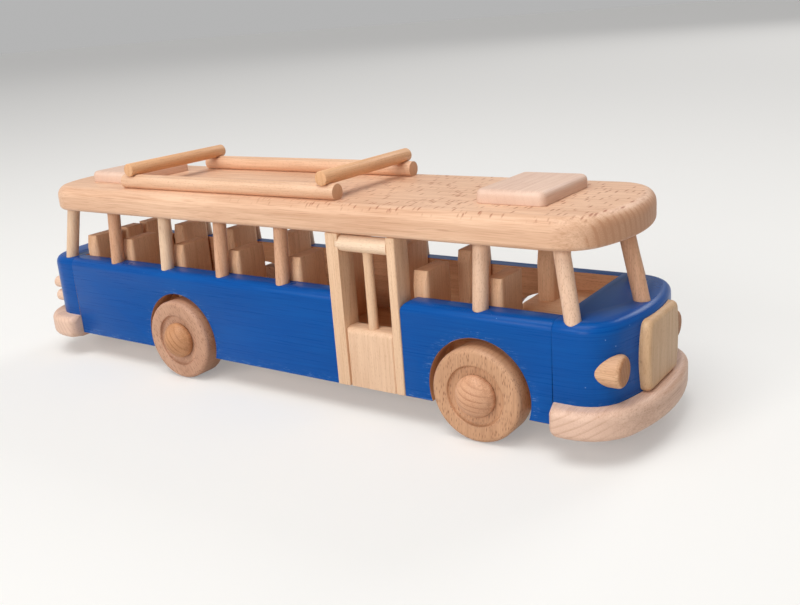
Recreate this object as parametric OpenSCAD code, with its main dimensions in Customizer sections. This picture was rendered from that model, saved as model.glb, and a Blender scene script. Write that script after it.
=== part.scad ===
// Toy bus in beech: a floor board between painted walls, bowed end blocks on round-nosed
// bumpers, leaning dowel pillars, a bowed roof with hatches and a luggage rack, upright seat
// boards, and four wheels that turn on glued pegs.
// The origin is on the ground under the middle of the bus. +X is forward, +Y is the bus's
// left and +Z is up. All sizes are in millimetres.

/* [Body] */
// Length of the painted body over its bowed ends
body_length = 422; // [400:1:460]
// Width of the painted body
body_width = 94; // [88:1:104]
// Height of the painted walls, underside to sill
wall_height = 52; // [50:0.5:60]
// Thickness of the side walls
wall_thickness = 12; // [11:0.5:14]
// Thickness of the floor board
floor_thickness = 16; // [12:0.5:20]
// Roundover along the outer edge of the sill
sill_round = 5.2; // [2:0.1:6]
// Length of each end block
end_block_length = 34.2; // [30:0.1:40]
// Radius of the bow across each end, seen from above
end_bow_radius = 105; // [75:1:130]
// Radius of the body's corners, seen from above
corner_radius = 20; // [18:0.5:28]

/* [Bumpers] */
// How far a bumper stands out from the body
bumper_reach = 9; // [5:0.5:14]
// Height of a bumper board
bumper_height = 14.8; // [12:0.2:18]
// How far a bumper hangs below the body
bumper_drop = 2.6; // [0.5:0.1:5]
// Roundover of a bumper's edges
bumper_round = 4; // [2:0.1:5]
// Roundover of a bumper's two cut ends, seen from above
bumper_end_round = 5.5; // [3:0.1:8]

/* [Roof] */
// Height of the window opening, sill to roof
window_height = 33.5; // [28:0.5:44]
// Thickness of the roof board
roof_thickness = 15.5; // [12:0.5:20]
// Overhang of the roof beyond each side of the body
roof_overhang = 1.5; // [0:0.1:4]
// Roof edge behind the nose of the body
roof_front_setback = 7; // [2:0.5:12]
// Roof edge ahead of the tail of the body
roof_rear_setback = 14; // [8:0.5:20]
// Roundover of the roof's top edge
roof_top_round = 7; // [3:0.1:8]
// Roundover of the roof's bottom edge
roof_bottom_round = 2.5; // [1:0.1:4]
// Radius of the bow across each end of the roof, seen from above
roof_bow_radius = 88; // [75:1:130]
// Radius of the roof's corners, seen from above
roof_corner_radius = 24; // [18:0.5:28]

/* [Pillars] */
// Diameter of the pillar dowels
pillar_d = 8; // [6:0.1:8.4]
// How far the side pillars stand inside the middle of the wall
pillar_offset = 0.7; // [0:0.1:1.5]
// Pillar heads inside the edge of the roof
pillar_head_inset = 11.4; // [9:0.1:14]
// Depth of a pillar's socket in the sill
sill_socket = 8; // [5:0.5:10]
// Depth of a pillar's socket in the roof
roof_socket = 6; // [4:0.5:9]
// First rear pillar, ahead of the rear joint
first_pillar = 40.5; // [30:0.1:52]
// Last rear pillar, behind the doorway
last_pillar = 40.3; // [25:0.1:55]
// Pillar over the front wheels, behind the front joint
fore_pillar = 41.1; // [25:0.1:60]
// Foot of a front corner pillar, ahead of the front joint
front_corner_foot = 8; // [5:0.1:10]
// Foot of a front corner pillar, inside the wall's outer face
front_corner_inset = 5.8; // [5.6:0.1:9]
// How far a front corner pillar leans back
front_corner_lean = 7; // [0:0.1:8]
// Foot of a rear corner pillar, behind the rear joint
rear_corner_foot = 7.3; // [5:0.1:10]
// Foot of a rear corner pillar, inside the wall's outer face
rear_corner_inset = 7.2; // [6.5:0.1:10]
// How far a rear corner pillar leans forward
rear_corner_lean = 7; // [0:0.1:9]
// Foot of the windscreen pillar behind the nose
screen_foot_inset = 8.6; // [7:0.1:14]
// Head of the windscreen pillar behind the roof's front edge
screen_head_inset = 9.4; // [7:0.1:14]

/* [Door] */
// Front edge of the doorway, behind the front joint
door_setback = 85.4; // [78:0.1:90]
// Width of the doorway over both posts
door_width = 44.2; // [38:0.2:56]
// Width of the rear door post
rear_post_width = 7.9; // [5:0.1:10]
// Width of the front door post
front_post_width = 5.4; // [4:0.1:9]
// How far the posts stand out from the wall
post_proud = 0.5; // [0:0.1:1.5]
// Height of the door panel
door_panel_height = 33.5; // [24:0.5:45]
// Thickness of the door panel
door_panel_thickness = 10; // [8.5:0.1:12]
// Roundover of the door panel's top and side edges
door_panel_round = 3.4; // [1:0.1:3.8]
// Diameter of the dowel in the middle of the door
mullion_d = 5.4; // [4:0.1:6]
// Middle of that dowel behind the door panel's face
mullion_setback = 4.8; // [4:0.1:5.2]
// Depth of that dowel's sockets
mullion_socket = 3.6; // [2:0.1:4]
// Diameter of the rod over the door
lintel_d = 9; // [8:0.1:10]
// Gap between the rod and the roof
lintel_drop = 1.2; // [0.4:0.1:3]
// How far the rod stands out from the posts
lintel_proud = 0.2; // [0:0.1:0.8]
// How far the rod is let into the rear post
lintel_housing = 1.7; // [0.5:0.1:3]

/* [Front and rear fittings] */
// Width of the grille plate
grille_width = 42.5; // [30:0.5:44]
// Height of the grille plate
grille_height = 36; // [26:0.1:38]
// Thickness of the grille plate at its middle
grille_thickness = 3.3; // [2.5:0.1:6]
// Roundover of the grille plate's front edge
grille_round = 3; // [1:0.1:3.2]
// Radius of the grille plate's corners
grille_corner = 4; // [3.4:0.1:6]
// How far the grille plate's sides bow out
grille_bow = 2.4; // [0.5:0.1:4]
// Diameter of the headlight dowels
headlight_d = 16; // [10:0.5:18]
// Middle of a headlight inside the wall's outer face
headlight_inset = 10.7; // [10:0.1:16]
// Middle of the headlights above the bumper
headlight_rise = 16.2; // [12:0.1:24]
// Flat end of a headlight behind the nose
headlight_setback = 2.6; // [2:0.1:6]
// Length of a headlight dowel
headlight_length = 21; // [18:0.5:26]
// Roundover of a headlight's end
headlight_round = 2.8; // [0.5:0.1:4]
// Diameter of the tail lamp pegs
tail_lamp_d = 8; // [5:0.1:9]
// Middle of a tail lamp inside the wall's outer face
tail_lamp_inset = 10; // [8:0.1:14]
// Lower tail lamp above the bumper
tail_lamp_rise = 8.8; // [6:0.1:12]
// Spacing of the two lamps of a pair
tail_lamp_pitch = 9.6; // [9.4:0.1:16]
// Length of a tail lamp peg
tail_lamp_length = 16; // [13:0.5:22]
// Height of the dome on a tail lamp
tail_lamp_dome = 2.4; // [1:0.1:2.5]

/* [Hatches and rack] */
// Length of a roof hatch
hatch_length = 38; // [24:0.5:48]
// Width of a roof hatch
hatch_width = 53; // [30:0.5:70]
// Thickness of a roof hatch
hatch_height = 7; // [4:0.1:10]
// Roundover of a hatch's edges
hatch_round = 3; // [1:0.1:3.5]
// Front hatch behind the roof's front edge
front_hatch_setback = 39.2; // [20:0.1:60]
// Rear hatch ahead of the roof's rear edge
rear_hatch_setback = 30; // [15:0.1:33]
// Diameter of the rack's rails
rail_d = 9; // [7:0.1:11]
// Length of the rack's rails
rail_length = 169; // [150:0.2:190]
// Middle of a rail inside the edge of the roof
rail_inset = 12; // [11.5:0.1:20]
// Rear end of the rails ahead of the roof's rear edge
rack_setback = 77.6; // [68:0.1:90]
// Depth of the flat planed under a rail
rail_flat = 0.4; // [0.2:0.1:1.5]
// Diameter of the rack's cross bars
bar_d = 8; // [6:0.1:10]
// How far a cross bar reaches past the middle of each rail
bar_overhang = 4.3; // [2:0.1:8]
// Depth of the saddle that seats a bar in a rail
bar_seat = 0.9; // [0.4:0.1:2]
// Rear bar ahead of the rails' rear end
rear_bar_setback = 8.2; // [6:0.1:30]
// Front bar behind the rails' front end
front_bar_setback = 7.3; // [6:0.1:30]

/* [Seats] */
// Width of the aisle between the seats
aisle_width = 20; // [16.6:0.1:28]
// Height of a passenger seat board
seat_height = 49.5; // [40:0.5:62]
// Thickness of a seat board
seat_thickness = 8.5; // [6:0.1:12]
// Gap between a seat and the wall
seat_gap = 0.5; // [0.3:0.1:2]
// Roundover of a seat board's front edges
seat_round = 3; // [1:0.1:3.5]
// How far a seat's top is drawn in at each side
seat_taper = 1.6; // [1:0.1:5]
// Height of the drawn-in top of a seat
seat_taper_height = 8; // [5:0.5:20]
// Back of the rear bench ahead of the rear joint
bench_setback = 4; // [0.5:0.1:8]
// Width of the middle board of the rear bench
middle_seat_width = 16; // [10:0.2:16]
// Length of the driver's platform
cab_length = 40.2; // [32:0.2:50]
// How far the driver's platform reaches past the middle of the floor
cab_reach = 4; // [0:0.1:7]
// Height of the driver's platform
cab_height = 26.4; // [18:0.2:34]
// Roundover of the platform's inner edge
cab_round = 8; // [2:0.1:10]
// Width of the platform that the driver's seat leaves free
driver_seat_free = 12.6; // [10:0.1:16]
// Height of the driver's seat board
driver_seat_height = 28.6; // [20:0.2:36]
// Driver's seat ahead of the platform's rear edge
driver_seat_setback = 6; // [1:0.1:14]

/* [Wheels] */
// Diameter of the wheels
wheel_d = 50; // [46:0.5:54]
// Width of a wheel
wheel_width = 15.4; // [14:0.1:18]
// Gap between a wheel and the floor board
wheel_gap = 0.8; // [0.4:0.1:2]
// Gap between a wheel and its arch
arch_gap = 4; // [2:0.1:6]
// Axles above the middle of the floor board
axle_rise = 1.15; // [0:0.05:3]
// Front axle behind the front joint
front_axle_setback = 40.8; // [38:0.1:44]
// Rear axle ahead of the rear joint
rear_axle_setback = 100.4; // [70:0.2:130]
// Roundover of a wheel's outer edge
wheel_round = 2.6; // [2:0.1:6]
// Roundover of a wheel's inner edge
wheel_inner_round = 1.2; // [0.5:0.1:3]
// Diameter of the turned recess in a wheel
recess_d = 32; // [28:0.2:36]
// Depth of the turned recess in a wheel
recess_depth = 2.5; // [2:0.1:6]
// Fillet at the foot of the recess
recess_fillet = 1.8; // [0.5:0.1:2]
// Diameter of a peg's head
peg_head_d = 22; // [18:0.2:26]
// Height of the straight rim of a peg's head
peg_head_rim = 2.2; // [0.6:0.1:3]
// Height of the dome on a peg's head
peg_head_dome = 7.2; // [2:0.1:9]
// Diameter of a peg's shaft
peg_d = 8; // [6:0.1:9]
// Depth of a peg in the floor board
peg_depth = 22; // [12:0.5:28]
// Gap between a peg's head and its wheel
peg_head_gap = 0.4; // [0.2:0.1:1]

/* [Fits] */
// Radial clearance of a wheel on its peg
running_clearance = 0.075; // [0.02:0.005:0.1]
// Radial gap for glue round a dowel
glue_gap = 0.05; // [0.02:0.01:0.15]
// Gap at the blind end of a hole
end_gap = 0.3; // [0.1:0.1:1]

/* [Hidden] */
$fn = 72;
hull_sides = 32;
corner_sides = 64;
bow_sides = 108;
fine_sides = 360;
cut = 1;
seam_turn = 20;
beech = [0.86, 0.69, 0.50];
beech_pale = [0.90, 0.76, 0.60];
beech_warm = [0.82, 0.60, 0.38];
blue = [0.09, 0.33, 0.66];

// Heights
axle_z = wheel_d / 2;
floor_bottom = axle_z - axle_rise - floor_thickness / 2;
floor_top = floor_bottom + floor_thickness;
sill_z = floor_bottom + wall_height;
roof_bottom = sill_z + window_height;
roof_top = roof_bottom + roof_thickness;
bumper_bottom = floor_bottom - bumper_drop;
bumper_top = bumper_bottom + bumper_height;

// Body plan
half_length = body_length / 2;
half_width = body_width / 2;
inner_half = half_width - wall_thickness;
joint_x = half_length - end_block_length;
roof_front = half_length - roof_front_setback;
roof_rear = half_length - roof_rear_setback;
roof_half = half_width + roof_overhang;

// Axles
front_axle = joint_x - front_axle_setback;
rear_axle = rear_axle_setback - joint_x;
arch_r = axle_z + arch_gap;
wheel_inner = inner_half + wheel_gap;
peg_inner = inner_half - peg_depth;

// Doorway
door_front = joint_x - door_setback;
door_rear = door_front - door_width;
opening_rear = door_rear + rear_post_width;
opening_front = door_front - front_post_width;
post_face = half_width + post_proud;
lintel_y = post_face + lintel_proud - lintel_d / 2;
lintel_z = roof_bottom - lintel_drop - lintel_d / 2;
lintel_rear = opening_rear - lintel_housing;
door_panel_top = floor_bottom + door_panel_height;
mullion_x = (opening_rear + opening_front) / 2;
mullion_y = half_width - mullion_setback;

// Side pillars, counted from the rear
foot_y = half_width - wall_thickness / 2 - pillar_offset;
head_y = roof_half - pillar_head_inset;
fore_x = joint_x - fore_pillar;
first_x = first_pillar - joint_x;
last_x = door_rear - last_pillar;
rear_pillars = [for (i = [0:3]) first_x + i * (last_x - first_x) / 3];
middle_pillars = [for (i = [1:2]) last_x + i * (fore_x - last_x) / 3];
right_pillars = concat(rear_pillars, [fore_x]);
left_pillars = concat(rear_pillars, middle_pillars, [fore_x]);

// Lamps
headlight_y = half_width - headlight_inset;
headlight_z = bumper_top + headlight_rise;
headlight_tip = half_length - headlight_setback;
tail_lamp_y = half_width - tail_lamp_inset;
tail_lamp_heights = [for (i = [0:1]) bumper_top + tail_lamp_rise + i * tail_lamp_pitch];

// Rack
rail_rear = rack_setback - roof_rear;
rail_front = rail_rear + rail_length;
rail_y = roof_half - rail_inset;
rail_z = roof_top - rail_flat + rail_d / 2;
bar_length = 2 * (rail_y + bar_overhang);
bar_z = rail_z + rail_d / 2 - bar_seat + bar_d / 2;
rear_bar_x = rail_rear + rear_bar_setback;
front_bar_x = rail_front - front_bar_setback;

// Seats: each row's boards stand with their backs in line with a pillar
seat_rows = concat([bench_setback - joint_x], left_pillars);
row_has_left = [true, true, true, true, true, true, true, false];
row_has_right = [true, true, true, true, true, false, true, true];
seat_width = inner_half - seat_gap - aisle_width / 2;
cab_rear = joint_x - cab_length;
cab_width = inner_half + cab_reach;
driver_seat_width = cab_width - seat_gap - driver_seat_free;

RIGHT = -1;
LEFT = 1;

// Radius of the sphere whose cap has this base radius and rise
function cap_radius(base, rise) = (base * base + rise * rise) / (2 * rise);

// Middle of a corner's arc, which meets the bowed end and the straight side smoothly
function corner_centre(end, half, bow, corner) =
    [end - bow + sqrt(pow(bow - corner, 2) - pow(half - corner, 2)), half - corner];

// A dowel's axis, from the middle of its foot to the middle of its head
function side_pillar(x, side) = [[x, side * foot_y, sill_z], [x, side * head_y, roof_bottom]];
function front_corner_pillar(side) = [
    [joint_x + front_corner_foot, side * (half_width - front_corner_inset), sill_z],
    [joint_x + front_corner_foot - front_corner_lean, side * head_y, roof_bottom]
];
function rear_corner_pillar(side) = [
    [-joint_x - rear_corner_foot, side * (half_width - rear_corner_inset), sill_z],
    [-joint_x - rear_corner_foot + rear_corner_lean, side * head_y, roof_bottom]
];
function windscreen_line() = [
    [half_length - screen_foot_inset, 0, sill_z],
    [roof_front - screen_head_inset, 0, roof_bottom]
];

// Every pillar that the roof rests on
roof_lines = concat(
    [for (x = right_pillars) side_pillar(x, RIGHT)],
    [for (x = left_pillars) side_pillar(x, LEFT)],
    [for (side = [RIGHT, LEFT]) front_corner_pillar(side)],
    [for (side = [RIGHT, LEFT]) rear_corner_pillar(side)],
    [windscreen_line()]
);

// What lies outside a quarter circle, for cutting a roundover
module round_cutter(radius) {
    difference() {
        square(radius + cut);
        circle(radius);
    }
}

// A board's section from one distance to another, with its outer edges rounded
module edge_profile(inner, outer, bottom, top, low_round, high_round) {
    difference() {
        translate([inner, bottom]) square([outer - inner, top - bottom]);
        if (high_round > 0)
            translate([outer - high_round, top - high_round]) round_cutter(high_round);
        if (low_round > 0)
            translate([outer - low_round, bottom + low_round]) mirror([0, 1]) round_cutter(low_round);
    }
}

// Sweeps a section across the bus along X
module along_x(from, to) {
    translate([from, 0, 0]) rotate([90, 0, 90]) linear_extrude(to - from) children();
}

// Sweeps a plan drawn in X and Z along Y
module along_y(from, to) {
    translate([0, to, 0]) rotate([90, 0, 0]) linear_extrude(to - from) children();
}

// The front end of a board, for a hull: its edge section swept round the bow and both corners
module bowed_end(end, half, bow, corner, bottom, top, low_round, high_round) {
    centre = corner_centre(end, half, bow, corner);
    turn = asin(centre.y / (bow - corner));
    translate([end - bow, 0, 0]) rotate(-turn) rotate_extrude(angle = 2 * turn, $fn = bow_sides)
        edge_profile(bow - corner, bow, bottom, top, low_round, high_round, $fn = hull_sides);
    for (side = [0, 1])
        mirror([0, side, 0]) translate([centre.x, centre.y, 0]) rotate(turn)
            rotate_extrude(angle = 90 - turn, $fn = corner_sides)
                edge_profile(0, corner, bottom, top, low_round, high_round, $fn = hull_sides);
}

// A length of dowel on an axis, measured from the middle of its foot, with its seam turned off
// the middle line of the bus
module dowel(line, start, stop, diameter) {
    span = line[1] - line[0];
    heading = atan2(span.y, span.x);
    translate(line[0]) rotate([0, acos(span.z / norm(span)), heading]) rotate(seam_turn - heading)
        translate([0, 0, start]) cylinder(d = diameter, h = stop - start);
}

module pillar(line) {
    color(beech)
        dowel(line, end_gap - sill_socket, norm(line[1] - line[0]) + roof_socket - end_gap, pillar_d);
}

module sill_bore(line) {
    dowel(line, -sill_socket, pillar_d, pillar_d + 2 * glue_gap);
}

module roof_bore(line) {
    length = norm(line[1] - line[0]);
    dowel(line, length - pillar_d, length + roof_socket, pillar_d + 2 * glue_gap);
}

// Places a wheel or a peg at one corner of the bus, with its outer face away from the floor
module at_axle(axle_x, side, from) {
    translate([axle_x, side * from, axle_z]) rotate([-90 * side, 0, 0]) children();
}

module chassis_board() {
    color(beech) difference() {
        translate([-joint_x, -inner_half, floor_bottom])
            cube([2 * joint_x, 2 * inner_half, floor_thickness]);
        for (x = [front_axle, rear_axle])
            for (side = [RIGHT, LEFT])
                at_axle(x, side, peg_inner) cylinder(d = peg_d + 2 * glue_gap, h = peg_depth + cut);
    }
}

// A stretch of painted wall, with a round arch over each wheel and a socket for each pillar
module side_wall(side, from, to, axles, pillars) {
    difference() {
        along_x(from, to) mirror([side == RIGHT ? 1 : 0, 0])
            edge_profile(inner_half, half_width, floor_bottom, sill_z, 0, sill_round);
        for (x = axles)
            at_axle(x, side, inner_half - cut) cylinder(r = arch_r, h = wall_thickness + 2 * cut);
        for (x = pillars) sill_bore(side_pillar(x, side));
    }
}

module left_side_panel() {
    color(blue) side_wall(LEFT, -joint_x, joint_x, [front_axle, rear_axle], left_pillars);
}

module right_rear_panel() {
    color(blue) side_wall(RIGHT, -joint_x, door_rear, [rear_axle], rear_pillars);
}

module right_front_panel() {
    color(blue) difference() {
        side_wall(RIGHT, door_front, joint_x, [front_axle], [fore_x]);
        along_y(-half_width - cut, cut - inner_half)
            translate([door_front + sill_round, sill_z - sill_round])
                mirror([1, 0]) round_cutter(sill_round);
    }
}

// A painted block that closes one end of the body, flat where it meets the walls
module end_block() {
    hull() {
        bowed_end(half_length, half_width, end_bow_radius, corner_radius,
            bumper_top, sill_z, 0, sill_round);
        along_x(joint_x, joint_x + cut) for (side = [0, 1]) mirror([side, 0])
            edge_profile(0, half_width, bumper_top, sill_z, 0, sill_round, $fn = hull_sides);
    }
}

module front_block() {
    color(blue) difference() {
        end_block();
        for (side = [RIGHT, LEFT]) {
            sill_bore(front_corner_pillar(side));
            translate([headlight_tip - headlight_length - end_gap, side * headlight_y, headlight_z])
                rotate([0, 90, 0])
                    cylinder(d = headlight_d + 2 * glue_gap, h = headlight_length + end_block_length);
        }
        sill_bore(windscreen_line());
    }
}

module rear_block() {
    color(blue) difference() {
        mirror([1, 0, 0]) end_block();
        for (side = [RIGHT, LEFT]) {
            sill_bore(rear_corner_pillar(side));
            for (z = tail_lamp_heights)
                translate([tail_lamp_length + end_gap - half_length, side * tail_lamp_y, z])
                    rotate([0, -90, 0])
                        cylinder(d = tail_lamp_d + 2 * glue_gap, h = tail_lamp_length + end_block_length);
        }
    }
}

// A board under an end block, larger all round, with rounded ends beside the walls
module bumper() {
    reach_y = half_width + bumper_reach;
    hull() {
        bowed_end(half_length + bumper_reach, reach_y, end_bow_radius + bumper_reach,
            corner_radius + bumper_reach, bumper_bottom, bumper_top, bumper_round, bumper_round);
        for (side = [RIGHT, LEFT])
            translate([joint_x + bumper_end_round, side * (reach_y - bumper_end_round), 0])
                rotate_extrude($fn = hull_sides)
                    edge_profile(0, bumper_end_round, bumper_bottom, bumper_top,
                        bumper_round, bumper_round, $fn = hull_sides);
        translate([joint_x, -half_width, bumper_bottom]) cube([cut, body_width, bumper_height]);
    }
}

module front_bumper() {
    color(beech_pale) bumper();
}

module rear_bumper() {
    color(beech_pale) mirror([1, 0, 0]) bumper();
}

// One bowed end of the roof
module roof_end(end) {
    bowed_end(end, roof_half, roof_bow_radius, roof_corner_radius,
        roof_bottom, roof_top, roof_bottom_round, roof_top_round);
}

module roof_board() {
    color(beech) difference() {
        hull() {
            roof_end(roof_front);
            mirror([1, 0, 0]) roof_end(roof_rear);
        }
        for (line = roof_lines) roof_bore(line);
    }
}

// The lintel's rod, or the hole that houses its end
module lintel_rod(from, to, diameter) {
    translate([from, -lintel_y, lintel_z]) rotate([0, 90, 0]) cylinder(d = diameter, h = to - from);
}

module door_post_rear() {
    color(beech) difference() {
        translate([door_rear, -post_face, floor_bottom])
            cube([rear_post_width, post_face - inner_half, roof_bottom - floor_bottom]);
        lintel_rod(lintel_rear - end_gap, opening_rear + cut, lintel_d + 2 * glue_gap);
    }
}

module door_post_front() {
    color(beech) translate([opening_front, -post_face, floor_bottom])
        cube([front_post_width, post_face - inner_half, roof_bottom - floor_bottom]);
}

// A vertical dowel in the middle of the door, or the holes for it
module mullion_rod(from, to, diameter) {
    translate([mullion_x, -mullion_y, from]) cylinder(d = diameter, h = to - from);
}

module door_lintel() {
    color(beech_pale) difference() {
        lintel_rod(lintel_rear, opening_front, lintel_d);
        mullion_rod(lintel_z - lintel_d, lintel_z - lintel_d / 2 + mullion_socket,
            mullion_d + 2 * glue_gap);
    }
}

module door_panel() {
    color(beech) difference() {
        along_x(opening_rear, opening_front) mirror([1, 0])
            edge_profile(half_width - door_panel_thickness, half_width, floor_bottom, door_panel_top,
                0, door_panel_round);
        for (x = [opening_rear, opening_front])
            translate([x, -half_width, floor_bottom - cut]) rotate(45)
                translate([-door_panel_round / 4, -door_panel_round / 4, 0])
                    cube([door_panel_round / 2, door_panel_round / 2, door_panel_height + 2 * cut]);
        mullion_rod(door_panel_top - mullion_socket, door_panel_top + cut, mullion_d + 2 * glue_gap);
    }
}

module door_mullion() {
    color(beech_warm) mullion_rod(door_panel_top - mullion_socket + end_gap,
        lintel_z - lintel_d / 2 + mullion_socket - end_gap, mullion_d);
}

// Outline of the grille plate: straight top and bottom, sides bowed out, corners rounded
module grille_outline() {
    bow_r = cap_radius(grille_height / 2, grille_bow);
    offset(r = grille_corner, $fn = hull_sides) offset(delta = -grille_corner) intersection() {
        square([grille_width, grille_height], center = true);
        translate([bow_r - grille_width / 2, 0]) circle(bow_r, $fn = fine_sides);
        translate([grille_width / 2 - bow_r, 0]) circle(bow_r, $fn = fine_sides);
    }
}

// The plate is laid against the bowed nose, so its back is cut to the same bow
module grille_plate() {
    front = half_length + grille_thickness;
    color(beech_pale) difference() {
        translate([0, 0, bumper_top + grille_height / 2]) hull()
            for (turn = [0:22.5:90])
                along_x(half_length - grille_thickness, front - grille_round * (1 - sin(turn)))
                    offset(delta = -grille_round * (1 - cos(turn))) grille_outline();
        translate([half_length - end_bow_radius, 0, bumper_top - cut])
            cylinder(r = end_bow_radius, h = grille_height + 2 * cut, $fn = fine_sides);
    }
}

// A headlight dowel with a rounded end
module headlight(side) {
    color(beech_warm)
        translate([headlight_tip - headlight_length, side * headlight_y, headlight_z])
            rotate([0, 90, 0]) rotate_extrude()
                edge_profile(0, headlight_d / 2, 0, headlight_length, 0, headlight_round);
}

// A turned shape with a domed end: a straight side of this radius, and a cap on top
module domed_profile(radius, straight, dome) {
    ball = cap_radius(radius, dome);
    square([radius, straight]);
    intersection() {
        translate([0, straight]) square([radius, dome]);
        translate([0, straight + dome - ball]) circle(ball);
    }
}

module tail_lamps() {
    color(beech_pale)
        for (side = [RIGHT, LEFT])
            for (z = tail_lamp_heights)
                translate([tail_lamp_length - half_length, side * tail_lamp_y, z]) rotate([0, -90, 0])
                    rotate_extrude()
                        domed_profile(tail_lamp_d / 2, tail_lamp_length - tail_lamp_dome, tail_lamp_dome);
}

// A roof hatch: a board with rounded corners and a rounded top edge
module hatch(rear) {
    corner = hatch_round + cut;
    color(beech_pale) hull()
        for (x = [rear + corner, rear + hatch_length - corner])
            for (y = [corner - hatch_width / 2, hatch_width / 2 - corner])
                translate([x, y, 0]) rotate_extrude($fn = hull_sides)
                    edge_profile(0, corner, roof_top, roof_top + hatch_height, 0, hatch_round, $fn = hull_sides);
}

module front_hatch() {
    hatch(roof_front - front_hatch_setback - hatch_length);
}

module rear_hatch() {
    hatch(rear_hatch_setback - roof_rear);
}

// A rack cross bar, or the saddle that it sits in
module bar_rod(x, diameter) {
    translate([x, -bar_length / 2, bar_z]) rotate([-90, 0, 0]) cylinder(d = diameter, h = bar_length);
}

module rack_rail(side) {
    color(beech) difference() {
        translate([rail_rear, side * rail_y, rail_z]) rotate([0, 90, 0])
            cylinder(d = rail_d, h = rail_length);
        translate([rail_rear - cut, side * rail_y - rail_d, roof_top - rail_d])
            cube([rail_length + 2 * cut, 2 * rail_d, rail_d]);
        for (x = [rear_bar_x, front_bar_x]) bar_rod(x, bar_d + 2 * glue_gap);
    }
}

module rack_bar(x) {
    color(beech_warm) bar_rod(x, bar_d);
}

// An upright seat board: rounded front edges and a top that is drawn in at both sides
module seat_board(back, middle, bottom, width, height) {
    half = width / 2;
    shoulder = height - seat_taper_height;
    translate([back, middle, bottom]) intersection() {
        linear_extrude(height) difference() {
            translate([0, -half]) square([seat_thickness, width]);
            for (side = [0, 1])
                mirror([0, side]) translate([seat_thickness - seat_round, half - seat_round])
                    round_cutter(seat_round);
        }
        along_x(-cut, seat_thickness + cut) polygon([
            [-half, -cut], [half, -cut], [half, shoulder], [half - seat_taper, height],
            [seat_taper - half, height], [-half, shoulder]
        ]);
    }
}

module seat_row(row) {
    back = seat_rows[row - 1];
    seat_y = inner_half - seat_gap - seat_width / 2;
    color(beech_warm) {
        if (row_has_left[row - 1]) seat_board(back, seat_y, floor_top, seat_width, seat_height);
        if (row_has_right[row - 1]) seat_board(back, -seat_y, floor_top, seat_width, seat_height);
        if (row == 1) seat_board(back, 0, floor_top, middle_seat_width, seat_height);
    }
}

module cab_platform() {
    color(beech) translate([0, inner_half, 0]) along_x(cab_rear, joint_x) mirror([1, 0])
        edge_profile(0, cab_width, floor_top, floor_top + cab_height, 0, cab_round);
}

module driver_seat() {
    color(beech_warm) seat_board(cab_rear + driver_seat_setback,
        inner_half - seat_gap - driver_seat_width / 2, floor_top + cab_height,
        driver_seat_width, driver_seat_height);
}

// Half section of a wheel: bored, rounded at the rim, with a filleted recess in its face
module wheel_profile() {
    bore_r = peg_d / 2 + running_clearance;
    floor_y = wheel_width - recess_depth;
    difference() {
        edge_profile(bore_r, wheel_d / 2, 0, wheel_width, wheel_inner_round, wheel_round);
        difference() {
            translate([0, floor_y]) square([recess_d / 2, recess_depth + cut]);
            translate([recess_d / 2 - recess_fillet, floor_y + recess_fillet])
                mirror([0, 1]) round_cutter(recess_fillet);
        }
    }
}

module wheel(axle_x, side) {
    color(beech_pale) at_axle(axle_x, side, wheel_inner) rotate_extrude() wheel_profile();
}

// A peg: a shaft glued into the floor board, and a domed head in the wheel's recess
module axle_peg(axle_x, side) {
    shaft = wheel_inner + wheel_width - recess_depth + peg_head_gap - peg_inner - end_gap;
    color(beech_warm) at_axle(axle_x, side, peg_inner + end_gap) rotate_extrude() {
        square([peg_d / 2, shaft]);
        translate([0, shaft]) domed_profile(peg_head_d / 2, peg_head_rim, peg_head_dome);
    }
}

chassis_board();
left_side_panel();
right_rear_panel();
right_front_panel();
front_block();
rear_block();
front_bumper();
rear_bumper();
roof_board();
for (i = [1:5])
    pillar(side_pillar(right_pillars[i - 1], RIGHT));
for (i = [1:7])
    pillar(side_pillar(left_pillars[i - 1], LEFT));
pillar(rear_corner_pillar(RIGHT));  // rear_corner_pillar_right
pillar(rear_corner_pillar(LEFT));  // rear_corner_pillar_left
pillar(front_corner_pillar(RIGHT));  // front_corner_pillar_right
pillar(front_corner_pillar(LEFT));  // front_corner_pillar_left
pillar(windscreen_line());  // windscreen_pillar
door_post_rear();
door_post_front();
door_lintel();
door_panel();
door_mullion();
grille_plate();
headlight(RIGHT);  // headlight_right
headlight(LEFT);  // headlight_left
tail_lamps();
front_hatch();
rear_hatch();
rack_rail(RIGHT);  // rack_rail_right
rack_rail(LEFT);  // rack_rail_left
rack_bar(front_bar_x);  // rack_bar_front
rack_bar(rear_bar_x);  // rack_bar_rear
cab_platform();
driver_seat();
wheel(front_axle, RIGHT);  // wheel_front_right
wheel(front_axle, LEFT);  // wheel_front_left
wheel(rear_axle, RIGHT);  // wheel_rear_right
wheel(rear_axle, LEFT);  // wheel_rear_left
axle_peg(front_axle, RIGHT);  // axle_peg_front_right
axle_peg(front_axle, LEFT);  // axle_peg_front_left
axle_peg(rear_axle, RIGHT);  // axle_peg_rear_right
axle_peg(rear_axle, LEFT);  // axle_peg_rear_left
for (row = [1:8])
    seat_row(row);
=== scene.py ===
# A toy bus in bare beech with blue painted walls and ends, standing on four turned wheels.
import math

import bpy
from mathutils import Color, Euler, Matrix, Vector


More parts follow.
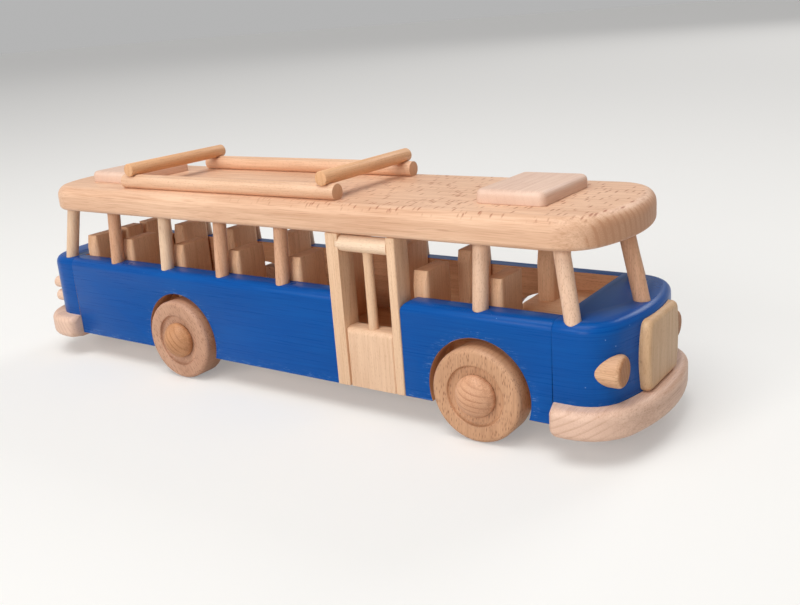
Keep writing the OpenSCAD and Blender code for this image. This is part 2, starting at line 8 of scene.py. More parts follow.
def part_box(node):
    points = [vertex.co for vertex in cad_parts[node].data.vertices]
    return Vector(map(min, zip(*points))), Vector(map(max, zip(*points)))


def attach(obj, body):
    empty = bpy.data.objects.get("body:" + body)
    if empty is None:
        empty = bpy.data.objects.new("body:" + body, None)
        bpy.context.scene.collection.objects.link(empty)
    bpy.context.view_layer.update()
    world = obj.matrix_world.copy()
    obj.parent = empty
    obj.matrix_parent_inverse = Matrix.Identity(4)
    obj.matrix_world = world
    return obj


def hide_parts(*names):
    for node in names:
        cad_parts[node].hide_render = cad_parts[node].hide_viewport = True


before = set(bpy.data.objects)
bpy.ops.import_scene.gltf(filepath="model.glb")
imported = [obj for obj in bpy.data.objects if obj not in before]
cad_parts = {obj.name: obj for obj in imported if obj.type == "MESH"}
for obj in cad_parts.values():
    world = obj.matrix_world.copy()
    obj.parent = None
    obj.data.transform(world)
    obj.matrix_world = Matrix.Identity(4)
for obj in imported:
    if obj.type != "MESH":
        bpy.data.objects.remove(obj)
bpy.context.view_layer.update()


# Floor board
# The bus is built up on one plain beech board, sawn to the width between the walls.
# Its edges are only broken with paper, and the axle pegs are glued into its sides.
MM = 0.001
PER_METRE = (1000, 1000, 1000)
FLOOR_EDGE = 0.5 * MM
JOIN = 0.002 * MM
FLAT_ANGLE = math.radians(0.4)
SHARP_ANGLE = math.radians(38)
SMOOTH_ANGLE = math.radians(32)
EDGE_STEPS = 3
FULL_TONE = 255


def tone(red, green, blue):
    """A colour from its everyday 0 to 255 values."""
    written = Color((red / FULL_TONE, green / FULL_TONE, blue / FULL_TONE))
    return (*written.from_srgb_to_scene_linear(), 1)


def eased(node, edge):
    """A copy of a solid with its facets joined and its sharp edges broken to a small radius."""
    bpy.ops.object.select_all(action="DESELECT")
    piece = bpy.data.objects.new("bus_" + node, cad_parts[node].data.copy())
    bpy.context.scene.collection.objects.link(piece)
    bpy.context.view_layer.objects.active = piece
    piece.select_set(True)
    piece.data.materials.clear()
    bpy.ops.object.mode_set(mode="EDIT")
    bpy.ops.mesh.select_all(action="SELECT")
    bpy.ops.mesh.remove_doubles(threshold=JOIN)
    bpy.ops.mesh.dissolve_limited(angle_limit=FLAT_ANGLE)
    bpy.ops.object.mode_set(mode="OBJECT")
    broken = piece.modifiers.new("broken_edges", "BEVEL")
    broken.width = edge
    broken.segments = EDGE_STEPS
    broken.limit_method = "ANGLE"
    broken.angle_limit = SHARP_ANGLE
    bpy.ops.object.modifier_apply(modifier=broken.name)
    bpy.ops.object.shade_smooth_by_angle(angle=SMOOTH_ANGLE)
    return piece


def fit(piece, node, body, finish):
    """Gives a piece its finish and sets it in the place of its solid."""
    piece.data.materials.append(finish)
    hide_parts(node)
    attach(piece, body)


def wire(tree, kind, inputs, **settings):
    """Adds a shader node, with each input linked or set."""
    made = tree.nodes.new(kind)
    for name, value in settings.items():
        setattr(made, name, value)
    for key, value in inputs.items():
        if isinstance(value, bpy.types.NodeSocket):
            tree.links.new(value, made.inputs[key])
        else:
            made.inputs[key].default_value = value
    return made


def math_of(tree, operation, first, second=0.0, third=0.0, clamp=False):
    """Reckons with single values."""
    made = wire(tree, "ShaderNodeMath", {0: first, 1: second, 2: third}, operation=operation,
                use_clamp=clamp)
    return made.outputs[0]


def vector_of(tree, operation, first, second=(0, 0, 0), third=(0, 0, 0), output="Vector"):
    """Reckons with places and directions."""
    made = wire(tree, "ShaderNodeVectorMath", {0: first, 1: second, 2: third}, operation=operation)
    return made.outputs[output]


def between(tree, value, low, high):
    """Takes a value's range between two limits to 0 and 1, with soft ends."""
    made = wire(tree, "ShaderNodeMapRange", {0: value, 1: low, 2: high}, interpolation_type="SMOOTHSTEP")
    return made.outputs[0]


FIRST_COLOUR = 6
SECOND_COLOUR = 7
MIXED_COLOUR = 2


def blend(tree, share, first, second):
    """Goes from one colour to another."""
    made = wire(tree, "ShaderNodeMix", {0: share, FIRST_COLOUR: first, SECOND_COLOUR: second},
                data_type="RGBA")
    return made.outputs[MIXED_COLOUR]


def noise(tree, place, stretch, detail, roughness=0.5, output="Fac"):
    """Soft noise, stretched by its own amount along each axis."""
    stretched = vector_of(tree, "MULTIPLY", place, stretch)
    made = wire(tree, "ShaderNodeTexNoise", {"Vector": stretched, "Scale": 1, "Detail": detail,
                                             "Roughness": roughness})
    return made.outputs[output]


def cells(tree, place, scale):
    """Cells of random size: the distance from each one's middle, and its own random values."""
    made = wire(tree, "ShaderNodeTexVoronoi", {"Vector": place, "Scale": scale, "Randomness": 1})
    lot = wire(tree, "ShaderNodeSeparateColor", {0: made.outputs["Color"]})
    return made.outputs["Distance"], lot.outputs


VECTOR = "NodeSocketVector"
VALUE = "NodeSocketFloat"
COLOUR = "NodeSocketColor"
COAT = {"Color": COLOUR, "Roughness": VALUE, "Height": VALUE}


def new_coat(name, inputs):
    """An empty node group that puts out a coat's colour, roughness and height."""
    group = bpy.data.node_groups.new(name, "ShaderNodeTree")
    for way, sockets in (("INPUT", inputs), ("OUTPUT", COAT)):
        for label, kind in sockets.items():
            group.interface.new_socket(label, in_out=way, socket_type=kind)
    return group, group.nodes.new("NodeGroupInput").outputs


def end_coat(group, color, roughness, height):
    """Leads a coat's results out of its group."""
    end = group.nodes.new("NodeGroupOutput")
    group.links.new(color, end.inputs["Color"])
    group.links.new(roughness, end.inputs["Roughness"])
    group.links.new(height, end.inputs["Height"])
    return group


def lay(tree, coat, relief, strength, gloss):
    """Lays a coat on the material's shader."""
    shader = tree.nodes["Principled BSDF"]
    bump = wire(tree, "ShaderNodeBump", {"Height": coat.outputs["Height"], "Distance": relief,
                                         "Strength": strength})
    tree.links.new(coat.outputs["Color"], shader.inputs["Base Color"])
    tree.links.new(coat.outputs["Roughness"], shader.inputs["Roughness"])
    tree.links.new(bump.outputs[0], shader.inputs["Normal"])
    shader.inputs["Specular IOR Level"].default_value = gloss


# Each mark's share in how dark, rough or deep the beech is
MIDDLE = (0.5, 0.5, 0.5)
SWAY = (0, 6, 6)
ACROSS_GRAIN = (0, 1, 1)
RINGS_ON_END = 2.3
RINGS_ON_SIDE = 0.4
BAND_DEPTH = 0.26
FIBRE_DEPTH = 0.3
CLOUD_DEPTH = 0.26
PORE_DEPTH = 0.3
HAIR_DEPTH = 0.34
RAGGED = (0.2, 0.2, 0.2)
BEECH_ROUGHNESS = 0.42
FIBRE_ROUGHENS = 0.08
END_ROUGHENS = 0.1
FLECK_SINKS = -0.3
FIBRE_SINKS = -0.35


def make_beech_grain():
    """Beech in millimetres, grain along X: faint growth rings, fine fibres and short dark ray flecks."""
    group, start = new_coat("beech_grain", {
        "Vector": VECTOR, "Pith": VECTOR, "Fleck Cells": VECTOR, "End": VALUE, "End Grain And Painted Shade": VALUE,
        "Ring Gap": VALUE, "Ring Strength": VALUE, "Fleck Strength": VALUE,
        "Pale": COLOUR, "Deep": COLOUR, "Fleck": COLOUR})
    place = start["Vector"]
    end_grain = start["End"]
    long_grain = math_of(group, "SUBTRACT", 1.0, end_grain)

    # The grain wanders slowly from side to side along the board
    wander = noise(group, place, stretch=(0.006, 0.02, 0.02), detail=2, output="Color")
    centred = vector_of(group, "SUBTRACT", wander, MIDDLE)
    bent = vector_of(group, "ADD", place, vector_of(group, "MULTIPLY", centred, SWAY))

    # Growth rings lie round the pith, which runs along the grain, and darken towards the end of a year
    from_pith = vector_of(group, "SUBTRACT", bent, start["Pith"])
    across = vector_of(group, "MULTIPLY", from_pith, ACROSS_GRAIN)
    distance = vector_of(group, "LENGTH", across, output="Value")
    years = math_of(group, "FRACT", math_of(group, "DIVIDE", distance, start["Ring Gap"]))
    late = math_of(group, "MULTIPLY", between(group, years, low=0.55, high=0.93),
                   between(group, years, low=1.0, high=0.96))
    ring_part = math_of(group, "MULTIPLY", late, start["Ring Strength"])
    ring_share = math_of(group, "MULTIPLY_ADD", end_grain, RINGS_ON_END, RINGS_ON_SIDE)
    rings = math_of(group, "MULTIPLY", ring_part, ring_share)

    # Long soft bands with fine fibres inside them
    band = noise(group, bent, stretch=(0.012, 0.34, 0.34), detail=2)
    bands = math_of(group, "MULTIPLY", between(group, band, low=0.34, high=0.66), long_grain)
    fibre = noise(group, bent, stretch=(0.04, 1.7, 1.7), detail=3, roughness=0.7)
    thread = math_of(group, "MULTIPLY", between(group, fibre, low=0.38, high=0.68), long_grain)

    # Open pores dot the end grain
    pore = noise(group, place, stretch=(0.3, 2.4, 2.4), detail=2)
    pores = math_of(group, "MULTIPLY", between(group, pore, low=0.45, high=0.7), end_grain)

    # Broad cloudiness of the board
    cloud = noise(group, place, stretch=(0.012, 0.03, 0.03), detail=2)
    clouds = between(group, cloud, low=0.3, high=0.7)

    # Hairlines of darker fibres
    hair = noise(group, bent, stretch=(0.045, 2.3, 2.3), detail=1)
    hairs = math_of(group, "MULTIPLY", between(group, hair, low=0.61, high=0.72), long_grain)

    # Short dark flecks of the rays, each in a cell of its own, in some places more than in others
    cell_at = vector_of(group, "MULTIPLY", bent, start["Fleck Cells"])
    ragged = noise(group, bent, stretch=(0.4, 0.4, 0.4), detail=1, output="Color")
    ragged_at = vector_of(group, "MULTIPLY_ADD", ragged, RAGGED, cell_at)
    from_middle, lot = cells(group, ragged_at, scale=1)
    patch = noise(group, place, stretch=(0.028, 0.028, 0.028), detail=1)
    chosen = between(group, math_of(group, "ADD", lot[0], patch), low=0.5, high=0.9)
    spot = between(group, from_middle, low=0.4, high=0.1)
    dashes = math_of(group, "MULTIPLY", math_of(group, "MULTIPLY", spot, chosen), long_grain)
    rays = math_of(group, "MULTIPLY", dashes, start["Fleck Strength"])
    fleck = math_of(group, "MULTIPLY_ADD", hairs, HAIR_DEPTH, rays, clamp=True)

    # All of them together darken, roughen and shape the surface
    soft = math_of(group, "MULTIPLY_ADD", bands, BAND_DEPTH, math_of(group, "MULTIPLY", thread, FIBRE_DEPTH))
    cloudy = math_of(group, "MULTIPLY_ADD", clouds, CLOUD_DEPTH, soft)
    # End faces darken by their own amount: partly the darker end grain, and on pieces that set it high,
    # painted shade as well
    with_ends_and_painted_shade = math_of(group, "MULTIPLY_ADD", end_grain, start["End Grain And Painted Shade"], cloudy)
    dotted = math_of(group, "MULTIPLY_ADD", pores, PORE_DEPTH, with_ends_and_painted_shade)
    depth = math_of(group, "ADD", rings, dotted, clamp=True)
    wood = blend(group, depth, start["Pale"], start["Deep"])
    flecked = blend(group, fleck, wood, start["Fleck"])
    rough = math_of(group, "MULTIPLY_ADD", thread, FIBRE_ROUGHENS, BEECH_ROUGHNESS)
    rougher = math_of(group, "MULTIPLY_ADD", math_of(group, "ADD", fleck, end_grain), END_ROUGHENS, rough)
    sunk = math_of(group, "MULTIPLY_ADD", fleck, FLECK_SINKS, 1.0)
    height = math_of(group, "MULTIPLY_ADD", math_of(group, "ADD", thread, pores), FIBRE_SINKS, sunk)
    return end_coat(group, flecked, rougher, height)


beech_grain = make_beech_grain()
GRAIN_ALONG = {"x": (0, 0, 0), "y": (0, 0, math.radians(-90)), "z": (0, math.radians(90), 0)}
GRAIN_RELIEF = 0.04 * MM
GRAIN_BUMP = 0.6
BEECH_GLOSS = 0.26


def beech(name, turn, pale, deep, fleck, pith, ring_gap=4.5, rings=0.1, flecks=0.3,
          fleck_cells=(0.4, 1.7, 1.7), end_grain_and_painted_shade=0.3):
    """A bare beech finish, with the grain turned to run along the piece."""
    finish = bpy.data.materials.new(name)
    finish.use_nodes = True
    tree = finish.node_tree
    at = wire(tree, "ShaderNodeTexCoord", {}).outputs
    along = wire(tree, "ShaderNodeMapping", {"Vector": at["Object"], "Rotation": turn, "Scale": PER_METRE})
    grain_axis = Euler(turn).to_matrix().transposed() @ Vector((1, 0, 0))
    faces_end = math_of(tree, "ABSOLUTE",
                        vector_of(tree, "DOT_PRODUCT", at["Normal"], grain_axis, output="Value"))
    wood = wire(tree, "ShaderNodeGroup", {
        "Vector": along.outputs[0], "Pith": pith, "Fleck Cells": fleck_cells,
        "End": between(tree, faces_end, low=0.55, high=0.95), "End Grain And Painted Shade": end_grain_and_painted_shade,
        "Ring Gap": ring_gap, "Ring Strength": rings, "Fleck Strength": flecks,
        "Pale": tone(*pale), "Deep": tone(*deep), "Fleck": tone(*fleck),
    }, node_tree=beech_grain, name="wood")
    lay(tree, wood, GRAIN_RELIEF, GRAIN_BUMP, BEECH_GLOSS)
    return finish


floor_beech = beech("floor_beech", GRAIN_ALONG["x"], pale=(228, 182, 142), deep=(196, 144, 104),
                    fleck=(156, 102, 68), pith=(0, 20, -60))
fit(eased("chassis_board", FLOOR_EDGE), "chassis_board", "bus", floor_beech)


# Painted walls
# Three beech boards on edge: the whole left side, and the two lengths beside the door.
# The outside and the rounded sill are brushed with blue paint, the inside and the arches stay bare.
WALL_EDGE = 0.5 * MM
WALL_FOOT = 15.85 * MM
JOINT_GAP = 0.8 * MM
JOINT_CLOSED = 58 * MM
ARCH_RADIUS = 29.6 * MM
AXLE_Z = 25 * MM
AXLE_XS = (136 * MM, -76.4 * MM)
WEAR_WIDTH = 6 * MM
WALL_PLANE = (1, 0, 1)
FACING = 0.6
EDGE_ON = 0.3
BLUE_PAINT = (0, 74, 152)
BLUE_THIN = (4, 84, 162)
BLUE_WORN = (132, 170, 214)
BRUSH_RELIEF = 0.05 * MM
BRUSH_BUMP = 0.5
PAINT_GLOSS = 0.15

# Each mark's share in how pale, rough or high the paint is
STROKE_SHARE = 0.45
COAT_SHARE = 0.55
DUST_SHOWS = 0.75
SCUFF_SHOWS = 0.5
PAINT_ROUGHNESS = 0.27
STROKE_ROUGHENS = 0.08
MARKS_ROUGHEN = 0.3
STROKE_HEIGHT = 0.5
COAT_HEIGHT = 0.6
DUST_HEIGHT = 0.8


def make_blue_paint():
    """Brushed paint in millimetres, with level strokes, specks of dust and scratches."""
    group, start = new_coat("brushed_blue", {
        "Vector": VECTOR, "Paint": COLOUR, "Thin": COLOUR, "Worn": COLOUR, "Wear": VALUE})
    place = start["Vector"]

    # Level brush strokes show as faint streaks, in a coat that is a little uneven
    streak = noise(group, place, stretch=(0.02, 0.02, 1.1), detail=4, roughness=0.65)
    stroke = between(group, streak, low=0.34, high=0.68)
    cloud = noise(group, place, stretch=(0.02, 0.02, 0.06), detail=3)
    uneven = math_of(group, "MULTIPLY_ADD", stroke, STROKE_SHARE,
                     math_of(group, "MULTIPLY", cloud, COAT_SHARE))
    coat = blend(group, between(group, uneven, low=0.2, high=0.8), start["Paint"], start["Thin"])

    # Pale specks of dust in the paint
    from_middle, lot = cells(group, place, scale=0.22)
    speck = math_of(group, "MULTIPLY", between(group, from_middle, low=0.085, high=0.04),
                    between(group, lot[1], low=0.72, high=0.8))

    # Short level scratches where the edges are rubbed
    scratch = noise(group, place, stretch=(0.22, 0.5, 1.9), detail=5, roughness=0.7)
    scuff = math_of(group, "MULTIPLY", between(group, scratch, low=0.56, high=0.66), start["Wear"])
    marks = math_of(group, "MAXIMUM", math_of(group, "MULTIPLY", speck, DUST_SHOWS),
                    math_of(group, "MULTIPLY", scuff, SCUFF_SHOWS))
    marked = blend(group, marks, coat, start["Worn"])
    rough = math_of(group, "MULTIPLY_ADD", stroke, STROKE_ROUGHENS, PAINT_ROUGHNESS)
    rougher = math_of(group, "MULTIPLY_ADD", marks, MARKS_ROUGHEN, rough)
    height = math_of(group, "MULTIPLY_ADD", stroke, STROKE_HEIGHT,
                     math_of(group, "MULTIPLY", cloud, COAT_HEIGHT))
    raised = math_of(group, "MULTIPLY_ADD", speck, DUST_HEIGHT, height)
    return end_coat(group, marked, rougher, raised)


brushed_blue = make_blue_paint()


def blue_paint(name, worn_below):
    """Semi-gloss blue brushed over wood, worn along the bottom edge and round the wheel arches."""
    finish = bpy.data.materials.new(name)
    finish.use_nodes = True
    tree = finish.node_tree
    at = wire(tree, "ShaderNodeTexCoord", {}).outputs["Object"]
    height = wire(tree, "ShaderNodeSeparateXYZ", {0: at}).outputs["Z"]
    wear = between(tree, height, worn_below + WEAR_WIDTH, worn_below)
    for axle_x in AXLE_XS:
        from_axle = vector_of(tree, "SUBTRACT", at, (axle_x, 0, AXLE_Z))
        flat = vector_of(tree, "MULTIPLY", from_axle, WALL_PLANE)
        reach = vector_of(tree, "LENGTH", flat, output="Value")
        wear = math_of(tree, "MAXIMUM", wear, between(tree, reach, ARCH_RADIUS + WEAR_WIDTH, ARCH_RADIUS))
    paint = wire(tree, "ShaderNodeGroup", {
        "Vector": vector_of(tree, "MULTIPLY", at, PER_METRE), "Wear": wear,
        "Paint": tone(*BLUE_PAINT), "Thin": tone(*BLUE_THIN), "Worn": tone(*BLUE_WORN),
    }, node_tree=brushed_blue)
    lay(tree, paint, BRUSH_RELIEF, BRUSH_BUMP, PAINT_GLOSS)
    return finish


wall_blue = blue_paint("wall_blue", WALL_FOOT)
bare_wall = beech("bare_wall", GRAIN_ALONG["x"], pale=(226, 174, 134), deep=(188, 134, 96),
                  fleck=(146, 96, 64), pith=(0, 120, 20))


def leave_bare(piece, inward):
    """Gives the second finish to the inside, the underside and the wheel arches."""
    for face in piece.data.polygons:
        inside = face.normal.y * inward > FACING
        under = face.normal.z < -FACING
        in_arch = False
        for axle_x in AXLE_XS:
            reach = math.hypot(face.center.x - axle_x, face.center.z - AXLE_Z)
            in_arch = in_arch or reach < ARCH_RADIUS
        if inside or under or (in_arch and abs(face.normal.y) < EDGE_ON):
            face.material_index = 1


def open_joint(piece):
    """Draws the ends that meet the blocks back a hair, more and more towards the bottom."""
    joint_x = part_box("left_side_panel")[1][0]
    for point in piece.data.vertices:
        if abs(point.co.x) > joint_x - JOINT_GAP:
            below = min(max((JOINT_CLOSED - point.co.z) / JOINT_CLOSED, 0), 1)
            point.co.x -= math.copysign(JOINT_GAP * below, point.co.x)


for wall, inward in (("left_side_panel", -1), ("right_rear_panel", 1), ("right_front_panel", 1)):
    board = eased(wall, WALL_EDGE)
    open_joint(board)
    fit(board, wall, "bus", wall_blue)
    board.data.materials.append(bare_wall)
    leave_bare(board, inward)


# End blocks
# A solid block closes each end, bowed across and rounded at the sill, painted like the walls.
# It is glued to the ends of the walls, so a fine dark line shows where the two meet.
BLOCK_EDGE = 0.6 * MM
BLOCK_BACK = 178 * MM
BLOCK_FOOT = 26 * MM
BETWEEN_WALLS = 35 * MM
SQUARE_ON = 0.9
block_blue = blue_paint("block_blue", BLOCK_FOOT)
bare_block = beech("bare_block", GRAIN_ALONG["y"], pale=(214, 162, 122), deep=(176, 122, 86),
                   fleck=(138, 90, 58), pith=(0, 20, 20))
for end in ("front_block", "rear_block"):
    block = eased(end, BLOCK_EDGE)
    fit(block, end, "bus", block_blue)
    block.data.materials.append(bare_block)
    for face in block.data.polygons:
        back = abs(face.center.x) < BLOCK_BACK and abs(face.normal.x) > SQUARE_ON
        indoors = back and abs(face.center.y) < BETWEEN_WALLS
        if indoors or face.normal.z < -FACING:
            face.material_index = 1


# Bumpers
# A thick bare board runs round under each end block, with every edge rounded over.
# Its grain runs across the bus, so growth rings show where the corners are cut.
BUMPER_EDGE = 0.5 * MM
bumper_beech = beech("bumper_beech", GRAIN_ALONG["y"], pale=(236, 202, 180), deep=(198, 154, 128),
                     fleck=(170, 120, 92), pith=(0, -100, 192), ring_gap=3.4, rings=0.13, end_grain_and_painted_shade=0.05)
for bumper in ("front_bumper", "rear_bumper"):
    fit(eased(bumper, BUMPER_EDGE), bumper, "bus", bumper_beech)


# Door
# Two square posts stand from the underside to the roof with a bare panel between them.
# A rod is let in between the posts at the top, and a thin dowel divides the opening.
POST_EDGE = 0.8 * MM
PANEL_EDGE = 1.2 * MM
ROD_EDGE = 0.5 * MM
post_beech = beech("post_beech", GRAIN_ALONG["z"], pale=(240, 204, 170), deep=(214, 170, 132),
                   fleck=(178, 126, 90), pith=(0, 40, -30))
panel_beech = beech("panel_beech", GRAIN_ALONG["z"], pale=(238, 202, 170), deep=(212, 168, 132),
                    fleck=(176, 122, 86), pith=(0, -70, -80), ring_gap=3.2)
rod_beech = beech("rod_beech", GRAIN_ALONG["x"], pale=(254, 228, 200), deep=(230, 190, 154),
                  fleck=(190, 140, 104), pith=(0, -60, 70))
for post in ("door_post_rear", "door_post_front"):
    fit(eased(post, POST_EDGE), post, "bus", post_beech)
fit(eased("door_panel", PANEL_EDGE), "door_panel", "bus", panel_beech)
fit(eased("door_lintel", ROD_EDGE), "door_lintel", "bus", rod_beech)
fit(eased("door_mullion", ROD_EDGE), "door_mullion", "bus", post_beech)


# Pillars
# Round dowels carry the roof, glued into drilled sockets in the walls, the blocks and the roof.
# Those along the sides lean in a little, and those at the corners and the windscreen lean back.
PILLAR_EDGE = 0.4 * MM
PILLAR_PITH = (0, 12, 9)
PILLAR_RINGS = 3.0
pale_pillar = beech("pale_pillar", GRAIN_ALONG["z"], pale=(244, 214, 184), deep=(220, 180, 146),
                    fleck=(184, 134, 98), pith=PILLAR_PITH, ring_gap=PILLAR_RINGS, flecks=0.15)
warm_pillar = beech("warm_pillar", GRAIN_ALONG["z"], pale=(230, 182, 148), deep=(194, 142, 108),
                    fleck=(156, 104, 74), pith=PILLAR_PITH, ring_gap=PILLAR_RINGS, flecks=0.4)
flecked_pillar = beech("flecked_pillar", GRAIN_ALONG["z"], pale=(240, 204, 176), deep=(214, 170, 138),
                       fleck=(172, 120, 88), pith=PILLAR_PITH, ring_gap=PILLAR_RINGS, flecks=0.4,
                       fleck_cells=(0.5, 1.5, 1.5))
PILLARS = {
    "pillar_right_1": warm_pillar, "pillar_right_2": pale_pillar, "pillar_right_3": warm_pillar,
    "pillar_right_4": warm_pillar, "pillar_right_5": flecked_pillar,
    "pillar_left_1": pale_pillar, "pillar_left_2": warm_pillar, "pillar_left_3": pale_pillar,
    "pillar_left_4": warm_pillar, "pillar_left_5": flecked_pillar, "pillar_left_6": warm_pillar,
    "pillar_left_7": pale_pillar,
    "rear_corner_pillar_right": pale_pillar, "rear_corner_pillar_left": warm_pillar,
    "front_corner_pillar_right": flecked_pillar, "front_corner_pillar_left": flecked_pillar,
    "windscreen_pillar": warm_pillar,
}
for pillar, finish in PILLARS.items():
    fit(eased(pillar, PILLAR_EDGE), pillar, "bus", finish)


# Seats
# Upright boards stand on the floor in rows, with rounded fronts and tops drawn in at the sides.
# The driver's board stands on a solid platform beside the door.
SEAT_EDGE = 0.7 * MM
SEAT_ROWS = 8
seat_beech = beech("seat_beech", GRAIN_ALONG["z"], pale=(246, 202, 164), deep=(222, 170, 130),
                   fleck=(176, 120, 84), pith=(0, 30, 25))
platform_beech = beech("platform_beech", GRAIN_ALONG["x"], pale=(246, 204, 166), deep=(222, 172, 130),
                       fleck=(176, 120, 84), pith=(0, 60, 10))
for row in range(SEAT_ROWS):
    seats = "seat_row_%d" % (row + 1)
    fit(eased(seats, SEAT_EDGE), seats, "bus", seat_beech)
fit(eased("driver_seat", SEAT_EDGE), "driver_seat", "bus", seat_beech)
fit(eased("cab_platform", SEAT_EDGE), "cab_platform", "bus", platform_beech)


# Roof
# One thick board, bowed at both ends like the body, with a broad roundover along its top edge.
# It is quarter sawn, so ray flecks lie across its top and the rings stand upright in its ends.
ROOF_EDGE = 0.5 * MM
FLECKS_FROM = -60 * MM
FLECKS_FULL = 70 * MM
FLECKS_AT_REAR = 0.1
FLECKS_MORE = 0.75
# Its ends are darker than end grain alone makes them: partly end grain, partly painted shade
roof_beech = beech("roof_beech", GRAIN_ALONG["x"], pale=(240, 200, 168), deep=(198, 146, 112),
                   fleck=(166, 104, 76), pith=(0, -220, 60), ring_gap=4.4, rings=0.2,
                   fleck_cells=(0.5, 0.11, 0.25), end_grain_and_painted_shade=0.7)
roof_tree = roof_beech.node_tree
roof_at = wire(roof_tree, "ShaderNodeTexCoord", {}).outputs
roof_x = wire(roof_tree, "ShaderNodeSeparateXYZ", {0: roof_at["Object"]}).outputs["X"]
roof_up = wire(roof_tree, "ShaderNodeSeparateXYZ", {0: roof_at["Normal"]}).outputs["Z"]
forward = math_of(roof_tree, "MULTIPLY_ADD", between(roof_tree, roof_x, FLECKS_FROM, FLECKS_FULL),
                  FLECKS_MORE, FLECKS_AT_REAR)
on_top = between(roof_tree, roof_up, low=0.45, high=0.9)
roof_tree.links.new(math_of(roof_tree, "MULTIPLY", forward, on_top),
                    roof_tree.nodes["wood"].inputs["Fleck Strength"])
fit(eased("roof_board", ROOF_EDGE), "roof_board", "bus", roof_beech)


# Hatches
# Two small boards with rounded corners and tops are glued flat on the roof.
# Their grain runs across the bus.
HATCH_EDGE = 0.4 * MM
hatch_beech = beech("hatch_beech", GRAIN_ALONG["y"], pale=(234, 204, 184), deep=(210, 170, 148),
                    fleck=(176, 130, 104), pith=(0, 30, 60), rings=0.03, flecks=0.1, end_grain_and_painted_shade=-0.1)
for hatch in ("front_hatch", "rear_hatch"):
    fit(eased(hatch, HATCH_EDGE), hatch, "bus", hatch_beech)


# Luggage rack
# Two round rails are planed flat underneath and glued along the roof.
# Two darker bars lie across them in shallow saddles.
RAIL_EDGE = 0.7 * MM
BAR_EDGE = 0.6 * MM
# The rails' ends are darker than end grain alone makes them: partly end grain, partly painted shade
rail_beech = beech("rail_beech", GRAIN_ALONG["x"], pale=(240, 200, 168), deep=(212, 164, 128),
                   fleck=(174, 120, 86), pith=(0, 15, 112), ring_gap=3.4, end_grain_and_painted_shade=0.7)
bar_beech = beech("bar_beech", GRAIN_ALONG["y"], pale=(240, 190, 146), deep=(210, 154, 108),
                  fleck=(166, 114, 76), pith=(0, 20, 118), ring_gap=3.4)
for rail in ("rack_rail_right", "rack_rail_left"):
    fit(eased(rail, RAIL_EDGE), rail, "bus", rail_beech)
for bar in ("rack_bar_front", "rack_bar_rear"):
    fit(eased(bar, BAR_EDGE), bar, "bus", bar_beech)


# Grille and lamps
# A rounded plate is glued on the nose, and thick dowels set into the corners are the headlights.
# Small domed pegs in the rear block are the tail lamps.
GRILLE_EDGE = 0.5 * MM
LAMP_EDGE = 0.4 * MM
LAMP_PITH = (0, 10, 60)
LAMP_RINGS = 2.8
grille_beech = beech("grille_beech", GRAIN_ALONG["z"], pale=(222, 186, 148), deep=(194, 152, 112),
                     fleck=(160, 112, 78), pith=(0, 12, -170), ring_gap=2.8)
# The headlights' end faces are darkened with a deep brown: partly darker end grain, partly painted shade
lamp_beech = beech("lamp_beech", GRAIN_ALONG["x"], pale=(238, 194, 156), deep=(170, 116, 78),
                   fleck=(140, 90, 60), pith=LAMP_PITH, ring_gap=LAMP_RINGS, end_grain_and_painted_shade=0.75)
tail_beech = beech("tail_beech", GRAIN_ALONG["x"], pale=(246, 214, 190), deep=(222, 180, 152),
                   fleck=(184, 136, 106), pith=LAMP_PITH, ring_gap=LAMP_RINGS, end_grain_and_painted_shade=0.1)
fit(eased("grille_plate", GRILLE_EDGE), "grille_plate", "bus", grille_beech)
for lamp in ("headlight_right", "headlight_left"):
    fit(eased(lamp, LAMP_EDGE), lamp, "bus", lamp_beech)
fit(eased("tail_lamps", LAMP_EDGE), "tail_lamps", "bus", tail_beech)


# Wheels
# Four discs turned from plain beech, with a broad round at the rim and a shallow dished recess.
# Each runs on a peg whose domed head sits in the recess and shows its end grain.
WHEEL_EDGE = 0.9 * MM
PEG_EDGE = 0.3 * MM
WHEEL_TURNS = {"front_right": 86, "front_left": 30, "rear_right": 120, "rear_left": 155}
WHEEL_TONES = {
    "front": {"pale": (214, 168, 132), "deep": (180, 132, 98), "fleck": (144, 96, 68)},
    "rear": {"pale": (206, 162, 134), "deep": (176, 130, 104), "fleck": (144, 98, 74)},
}
PEG_TONES = {
    "front": {"pale": (234, 186, 150), "deep": (176, 120, 86), "fleck": (144, 96, 66)},
    "rear": {"pale": (218, 164, 120), "deep": (158, 102, 66), "fleck": (132, 84, 52)},
}
PEG_PITHS = {"front": (0, -150, 75), "rear": (0, 150, -40)}
for corner, grain_turn in WHEEL_TURNS.items():
    axle = corner.split("_")[0]
    wheel = "wheel_" + corner
    wheel_beech = beech("wheel_beech_" + corner, (0, math.radians(grain_turn), 0), **WHEEL_TONES[axle],
                        pith=(0, -30, 400), ring_gap=2.6, flecks=1.0, fleck_cells=(0.26, 1.5, 1.5))
    fit(eased(wheel, WHEEL_EDGE), wheel, corner + "_wheel", wheel_beech)
    peg = "axle_peg_" + corner
    peg_beech = beech("peg_beech_" + corner, GRAIN_ALONG["y"], **PEG_TONES[axle], pith=PEG_PITHS[axle],
                      ring_gap=3.0, rings=0.14, end_grain_and_painted_shade=0.15)
    fit(eased(peg, PEG_EDGE), peg, "bus", peg_beech)


# Stage
# A plain pale floor runs back to a sky of the same tone.
# Four soft boxes light the bus: two on the door side, one on the far side and one above the roof.
FLOOR_SIZE = 80
FLOOR_TONE = (212, 210, 206)
FLOOR_ROUGHNESS = 0.9
FLOOR_GLOSS = 0.1
FLOOR_GLOW = 0.26
SKY_LIGHT = 0.28
SKY_SHOWN = 0.46
WHITE = (1, 1, 1, 1)
BODY_MIDDLE = (0, 0, 0.06)
ROOF_MIDDLE = (0, 0, 0.1)


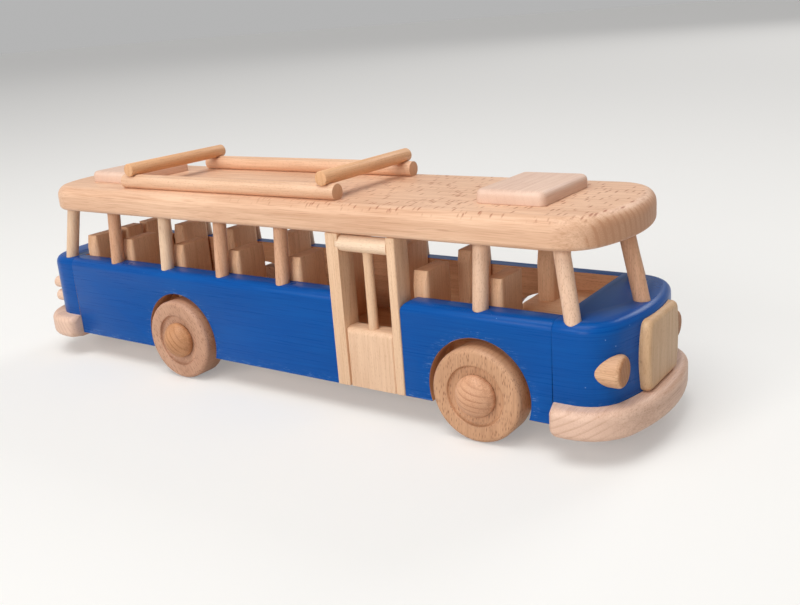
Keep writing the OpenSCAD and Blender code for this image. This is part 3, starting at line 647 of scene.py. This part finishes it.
def shows(tree):
    """1 for a ray that shows the background: straight from the camera, off gloss or through glass."""
    rays = wire(tree, "ShaderNodeLightPath", {}).outputs
    straight = math_of(tree, "MAXIMUM", rays["Is Camera Ray"], rays["Is Glossy Ray"])
    return math_of(tree, "MAXIMUM", straight, rays["Is Transmission Ray"])


bpy.ops.object.select_all(action="DESELECT")
bpy.ops.mesh.primitive_plane_add(size=FLOOR_SIZE, location=(0, 0, 0))
floor = bpy.context.object
floor.name = "studio_floor"
floor_finish = bpy.data.materials.new("studio_floor")
floor_finish.use_nodes = True
floor_tree = floor_finish.node_tree
floor_shader = floor_tree.nodes["Principled BSDF"]
floor_shader.inputs["Base Color"].default_value = tone(*FLOOR_TONE)
floor_shader.inputs["Roughness"].default_value = FLOOR_ROUGHNESS
floor_shader.inputs["Specular IOR Level"].default_value = FLOOR_GLOSS
floor_shader.inputs["Emission Color"].default_value = WHITE
floor_tree.links.new(math_of(floor_tree, "MULTIPLY", shows(floor_tree), FLOOR_GLOW),
                     floor_shader.inputs["Emission Strength"])
floor.data.materials.append(floor_finish)

sky = bpy.data.worlds.new("studio_sky")
bpy.context.scene.world = sky
sky.use_nodes = True
sky_tree = sky.node_tree
sky_shader = sky_tree.nodes["Background"]
sky_shader.inputs["Color"].default_value = WHITE
sky_tree.links.new(math_of(sky_tree, "MULTIPLY_ADD", shows(sky_tree), SKY_SHOWN - SKY_LIGHT, SKY_LIGHT),
                   sky_shader.inputs["Strength"])


def soft_box(name, place, aim, size, power):
    """A square soft lamp that faces a point on the bus."""
    lamp = bpy.data.lights.new(name, "AREA")
    lamp.shape = "SQUARE"
    lamp.size = size
    lamp.energy = power
    stand = bpy.data.objects.new(name, lamp)
    bpy.context.scene.collection.objects.link(stand)
    turn = (Vector(place) - Vector(aim)).to_track_quat("Z", "Y")
    stand.matrix_world = Matrix.Translation(place) @ turn.to_matrix().to_4x4()


soft_box("key_lamp", place=(-1.8, -5.0, 2.7), aim=BODY_MIDDLE, size=1.8, power=68)
soft_box("low_lamp", place=(0.7, -5.2, 1.7), aim=BODY_MIDDLE, size=2.2, power=86)
soft_box("back_lamp", place=(0.6, 4.9, 3.6), aim=BODY_MIDDLE, size=2.2, power=75)
soft_box("roof_lamp", place=(0.0, -0.55, 1.75), aim=ROOF_MIDDLE, size=1.2, power=20)


# Camera
# It stands in front of the bus on the door side, a little above the roof.
# Its place and directions were solved from the edges of the bus in the photograph.
LENS = 41.64
SENSOR_WIDTH = 36
CAMERA_PLACE = (0.3555, -0.4146, 0.20585)
CAMERA_RIGHT = (0.8236, 0.5626, -0.0719)
CAMERA_UP = (-0.1085, 0.2806, 0.9537)
CAMERA_BACK = (0.5567, -0.7776, 0.2922)
camera_data = bpy.data.cameras.new("photo_camera")
camera_data.sensor_fit = "HORIZONTAL"
camera_data.sensor_width = SENSOR_WIDTH
camera_data.lens = LENS
camera = bpy.data.objects.new("photo_camera", camera_data)
bpy.context.scene.collection.objects.link(camera)
columns = Matrix((CAMERA_RIGHT, CAMERA_UP, CAMERA_BACK)).transposed().to_4x4()
camera.matrix_world = Matrix.Translation(CAMERA_PLACE) @ columns
bpy.context.scene.camera = camera
bpy.context.scene.view_settings.view_transform = "Standard"
